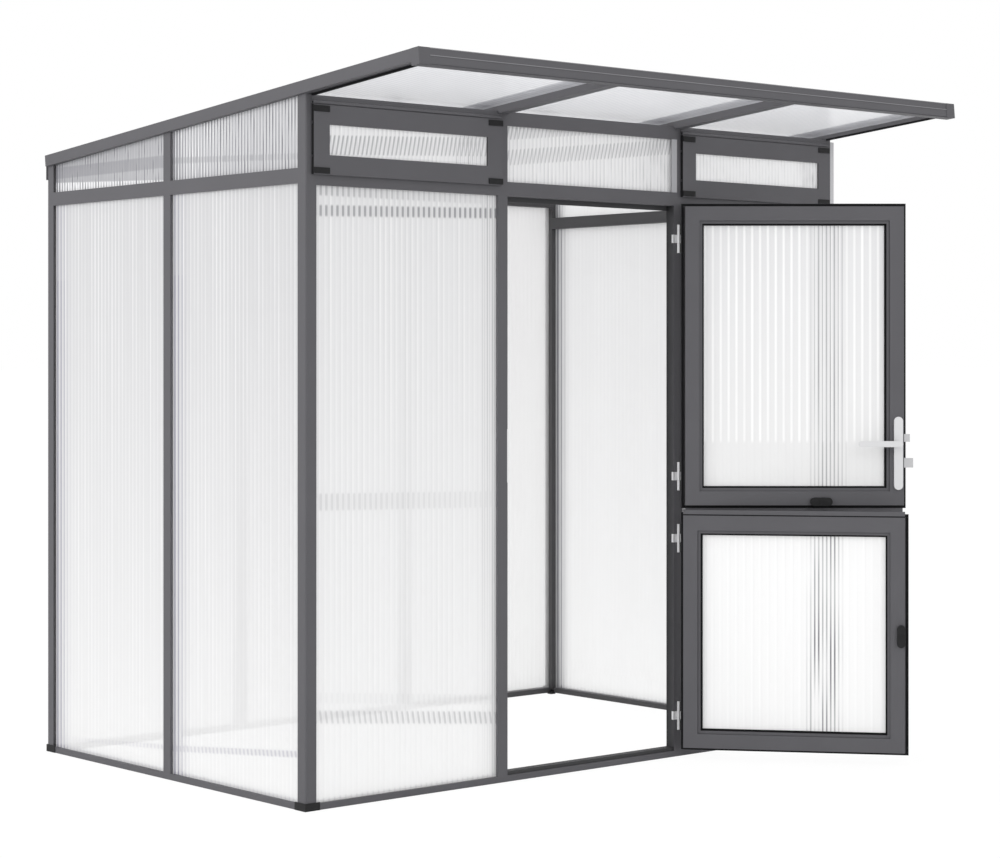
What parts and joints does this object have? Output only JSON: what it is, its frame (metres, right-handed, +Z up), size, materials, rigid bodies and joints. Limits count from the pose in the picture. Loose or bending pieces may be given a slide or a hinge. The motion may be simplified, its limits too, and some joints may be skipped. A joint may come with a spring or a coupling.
{
  "type": "pent roof greenhouse",
  "caption": "Pent-roof greenhouse of dark aluminium bars and twin-wall sheets, with a two-part stable door, overhanging roof and top-hung vents.",
  "frame": {"origin": "centre of the footprint on the ground, at the centre of the four floor anchor holes", "axes": "+Z up, the door wall faces -Y, +X is to the right seen from the front"},
  "size_m": [2.357, 2.1263, 2.2197],
  "materials": {
    "dark_frame": "matt anthracite powder coat on aluminium",
    "clear_sheet": "clear ribbed twin-wall plastic sheet",
    "roof_sheet": "glossy, slightly milky twin-wall plastic sheet",
    "black_plastic": "matt black moulded plastic",
    "black_rubber": "black gasket rubber",
    "pale_aluminium": "satin silver aluminium",
    "pale_trim": "pale grey cover strip",
    "steel": "zinc-plated steel",
    "brass": "nickel-plated brass"
  },
  "bodies": {
    "house": {"corner_shoes": "black_plastic", "base_rails": "dark_frame", "door_threshold": "dark_frame", "corner_posts": "dark_frame", "left_door_jamb": "dark_frame", "right_door_jamb": "dark_frame", "wall_bars": "dark_frame", "front_mid_rails": "dark_frame", "door_head_rail": "dark_frame", "side_mid_rails": "dark_frame", "front_header": "dark_frame", "rear_eaves_rail": "dark_frame", "side_roof_rails": "dark_frame", "roof_rafters": "dark_frame", "roof_fascia": "dark_frame", "roof_sheets": "roof_sheet", "front_wall_sheets": "clear_sheet", "over_door_sheet": "clear_sheet", "side_lower_sheets": "clear_sheet", "side_upper_sheets": "clear_sheet", "rear_wall_sheets": "clear_sheet", "wall_edge_strip": "pale_trim", "lock_strike": "steel", "door_hinge_brackets": "pale_aluminium", "door_hinge_pins": "steel", "door_hinge_screws": "steel", "vent_hinge_channels": "dark_frame"},
    "upper_leaf": {"upper_leaf_stiles": "dark_frame", "upper_leaf_rails": "dark_frame", "upper_leaf_beads": "dark_frame", "upper_leaf_gaskets": "black_rubber", "upper_leaf_sheet": "clear_sheet", "upper_leaf_hinges": "pale_aluminium", "lock_case": "steel", "inner_backplate": "pale_aluminium", "outer_backplate": "pale_aluminium", "key_cylinder": "brass", "upper_catch_pin": "steel"},
    "lever": {"inner_lever": "pale_aluminium", "outer_lever": "pale_aluminium", "lever_spindle": "steel"},
    "latch": {"latch_bolt": "steel"},
    "deadbolt": {"dead_bolt": "steel"},
    "upper_catch": {"upper_turn_catch": "black_plastic"},
    "lower_leaf": {"lower_leaf_stiles": "dark_frame", "lower_leaf_rails": "dark_frame", "lower_leaf_beads": "dark_frame", "lower_leaf_gaskets": "black_rubber", "lower_leaf_sheet": "clear_sheet", "lower_leaf_hinges": "pale_aluminium", "lower_catch_pin": "steel"},
    "lower_catch": {"lower_turn_catch": "black_plastic"},
    "left_vent": {"left_vent_sash": "dark_frame", "left_vent_corners": "black_plastic", "left_vent_sheet": "clear_sheet"},
    "right_vent": {"right_vent_sash": "dark_frame", "right_vent_corners": "black_plastic", "right_vent_sheet": "clear_sheet"}
  },
  "joints": [
    {"name": "upper_leaf_hinge", "type": "hinge", "parent": "house", "child": "upper_leaf", "pos_m": [0.388, -0.753, 1.35], "axis": [0, 0, 1], "range_deg": [-139.15, 26]},
    {"name": "lower_leaf_hinge", "type": "hinge", "parent": "house", "child": "lower_leaf", "pos_m": [0.388, -0.753, 0.44], "axis": [0, 0, 1], "range_deg": [-129.5, 35.5]},
    {"name": "lever_turn", "type": "hinge", "parent": "upper_leaf", "child": "lever", "pos_m": [0.93404, -1.24829, 1.06], "axis": [-0.6541, -0.7564, 0], "range_deg": [0, 45], "stiffness_Nm_per_rad": 0.6, "springref_deg": -57.3},
    {"name": "latch_slide", "type": "slide", "parent": "upper_leaf", "child": "latch", "axis": [-0.7564, 0.6541, 0], "range_m": [0, 0.0191]},
    {"name": "dead_bolt_slide", "type": "slide", "parent": "upper_leaf", "child": "deadbolt", "axis": [-0.7564, 0.6541, 0], "range_m": [0, 0.032]},
    {"name": "upper_catch_turn", "type": "hinge", "parent": "upper_leaf", "child": "upper_catch", "pos_m": [0.722, -1.09601, 0.865], "axis": [0.6541, 0.7564, 0], "range_deg": [0, 90]},
    {"name": "lower_catch_turn", "type": "hinge", "parent": "lower_leaf", "child": "lower_catch", "pos_m": [0.82961, -1.35317, 0.425], "axis": [0.7716, 0.6361, 0], "range_deg": [0, 90]},
    {"name": "left_vent_hinge", "type": "hinge", "parent": "house", "child": "left_vent", "pos_m": [-0.775, -0.752, 2.11], "axis": [-1, 0, 0], "range_deg": [0, 35]},
    {"name": "right_vent_hinge", "type": "hinge", "parent": "house", "child": "right_vent", "pos_m": [0.775, -0.752, 2.11], "axis": [-1, 0, 0], "range_deg": [0, 35]}
  ],
  "couplings": [
    {"joint": "latch_slide", "follows": "lever_turn", "m_per_rad": 0.024192}
  ]
}
